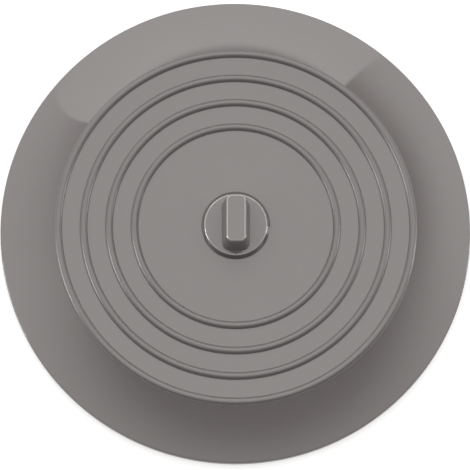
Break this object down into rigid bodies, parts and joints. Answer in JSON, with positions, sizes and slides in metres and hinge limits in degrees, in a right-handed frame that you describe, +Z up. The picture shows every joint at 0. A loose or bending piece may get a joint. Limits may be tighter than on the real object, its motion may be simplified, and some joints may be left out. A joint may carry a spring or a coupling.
{
  "type": "drain stopper",
  "caption": "Round soft drain stopper: sloping brim with a flat seat, raised top with concentric ribs, hollow dome that presses down to seal, and a turning pull knob with a pinch bar.",
  "frame": {"origin": "middle of the circle that the brim's underside seats on", "axes": "+Z up along the disc's axis, from the seat to the pull knob; +Y along the length of the pinch bar"},
  "size_m": [0.15, 0.15, 0.0208],
  "materials": {
    "disc_silicone": "satin",
    "knob_silicone": "satin",
    "core_plastic": "matte",
    "washer_plastic": "satin",
    "plate_steel": "satin",
    "post_steel": "satin",
    "ring_steel": "satin"
  },
  "bodies": {
    "disc": {"stopper_disc": "disc_silicone"},
    "insert": {"anchor_plate": "plate_steel", "knob_post": "post_steel", "slip_washer": "washer_plastic"},
    "knob": {"knob_core": "core_plastic", "knob_skin": "knob_silicone", "snap_ring": "ring_steel"}
  },
  "joints": [
    {"name": "centre_press", "type": "slide", "parent": "disc", "child": "insert", "axis": [0, 0, 1], "range_m": [-0.0025, 0], "stiffness_N_per_m": 2000, "deforming": ["stopper_disc"]},
    {"name": "knob_turn", "type": "hinge", "parent": "insert", "child": "knob", "pos_m": [0, 0, 0.012], "axis": [0, 0, 1], "continuous": true}
  ]
}
